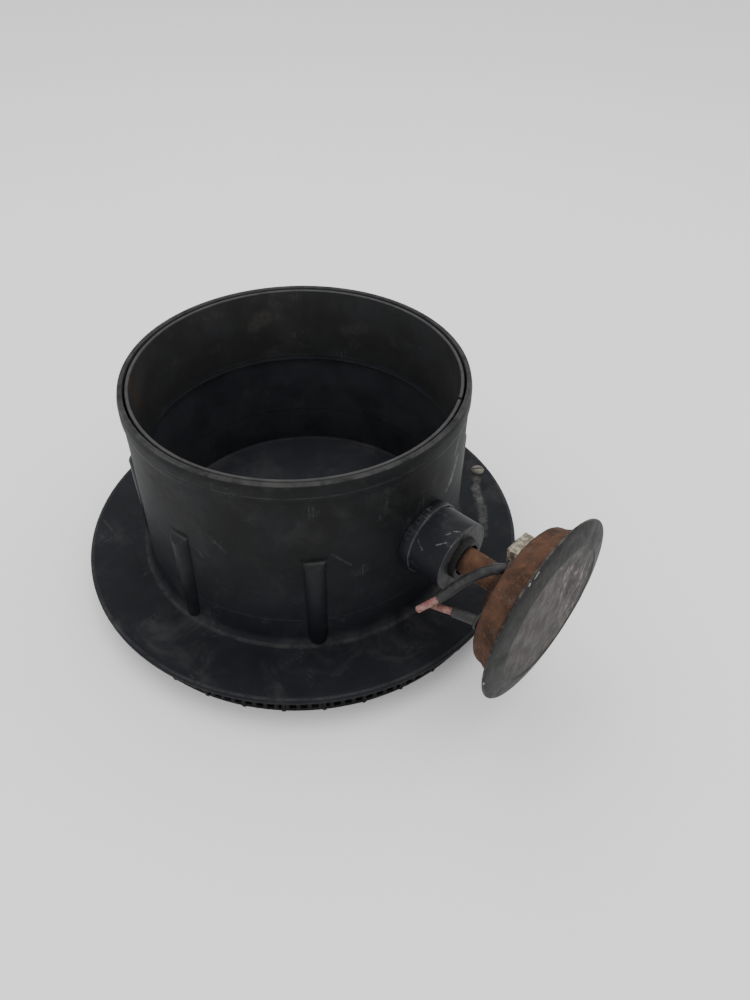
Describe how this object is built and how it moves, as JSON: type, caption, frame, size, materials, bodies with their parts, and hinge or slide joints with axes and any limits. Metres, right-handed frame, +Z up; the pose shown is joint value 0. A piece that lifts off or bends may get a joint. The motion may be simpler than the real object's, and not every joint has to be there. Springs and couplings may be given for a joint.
{
  "type": "flanged drum with side pot magnet",
  "caption": "Open plastic drum on a broad ribbed foot flange, with a lift-out liner and a pot magnet on a threaded spindle through its side boss.",
  "frame": {"origin": "on the drum's axis, at the plane the foot ribs stand on", "axes": "+Z up along the drum's axis, +X out along the side boss and its spindle"},
  "size_m": [0.3217, 0.28, 0.142],
  "materials": {
    "drum_plastic": "black moulded plastic, satin, scuffed and dusty",
    "floor_plastic": "black plastic floor, dusty",
    "foot_plastic": "black plastic, shaded, dirty",
    "liner_plastic": "black plastic sleeve with dust streaks",
    "boss_plastic": "dark grey plastic, scuffed end",
    "plug_cream": "aged cream plastic",
    "rusted_rod": "threaded steel, rusted brown",
    "rusted_steel": "rusted steel",
    "zinc_steel": "zinc plated, dulled with pale deposits",
    "rusted_pot": "rusted steel pot, brown",
    "dark_steel": "grey steel worn to a pinkish middle",
    "bobbin_plastic": "natural nylon",
    "copper_wire": "copper, tarnished",
    "sealant": "crusty speckled sealant",
    "lead_rubber": "black rubber",
    "lead_pink": "faded red insulation with beige worn spots",
    "lead_black": "black cable sheath"
  },
  "bodies": {
    "root": {"drum_shell": "drum_plastic", "floor_plate": "floor_plastic", "foot_grid": "foot_plastic", "liner_seat": "drum_plastic", "side_boss": "boss_plastic", "boss_saddle": "boss_plastic", "boss_bushing": "boss_plastic", "flange_plug": "plug_cream"},
    "liner": {"liner_sleeve": "liner_plastic"},
    "spindle_body": {"spindle": "rusted_rod"},
    "keeper_washer_body": {"keeper_washer": "rusted_steel"},
    "keeper_nut_body": {"keeper_nut": "rusted_steel"},
    "clamp_washer_body": {"clamp_washer": "zinc_steel"},
    "clamp_nut_body": {"clamp_nut": "zinc_steel"},
    "pot_unit": {"pot_shell": "rusted_pot", "pot_lug": "zinc_steel", "pole_core": "dark_steel", "coil_bobbin": "bobbin_plastic", "coil_winding": "copper_wire", "sealant_seam": "sealant", "face_disc": "dark_steel", "lead_upper_grommet": "lead_rubber", "lead_upper_core": "lead_pink", "lead_upper_sheath": "lead_black", "lead_upper_strands": "copper_wire", "lead_lower_grommet": "lead_rubber", "lead_lower_core": "lead_pink", "lead_lower_sheath": "lead_black", "lead_lower_strands": "copper_wire"}
  },
  "joints": [
    {"name": "liner_lift", "type": "slide", "parent": "root", "child": "liner", "axis": [0, 0, 1], "range_m": [0, 0.06]},
    {"name": "spindle_slide", "type": "slide", "parent": "root", "child": "spindle_body", "axis": [1, 0, 0], "range_m": [-0.012, 0.006]},
    {"name": "pot_turn", "type": "hinge", "parent": "spindle_body", "child": "pot_unit", "pos_m": [0.1645, 0, 0.0777], "axis": [1, 0, 0], "range_deg": [-180, 180]},
    {"name": "clamp_nut_turn", "type": "hinge", "parent": "clamp_washer_body", "child": "clamp_nut_body", "pos_m": [0.1555, 0, 0.0777], "axis": [1, 0, 0], "range_deg": [0, 720]},
    {"name": "clamp_nut_travel", "type": "slide", "parent": "spindle_body", "child": "clamp_washer_body", "axis": [-1, 0, 0], "range_m": [0, 0.004]},
    {"name": "keeper_nut_turn", "type": "hinge", "parent": "keeper_washer_body", "child": "keeper_nut_body", "pos_m": [0.077, 0, 0.0777], "axis": [1, 0, 0], "range_deg": [0, 720]},
    {"name": "keeper_nut_travel", "type": "slide", "parent": "spindle_body", "child": "keeper_washer_body", "axis": [-1, 0, 0], "range_m": [0, 0.004]}
  ],
  "couplings": [
    {"joint": "clamp_nut_travel", "follows": "clamp_nut_turn", "m_per_rad": 0.000318},
    {"joint": "keeper_nut_travel", "follows": "keeper_nut_turn", "m_per_rad": 0.000318}
  ]
}
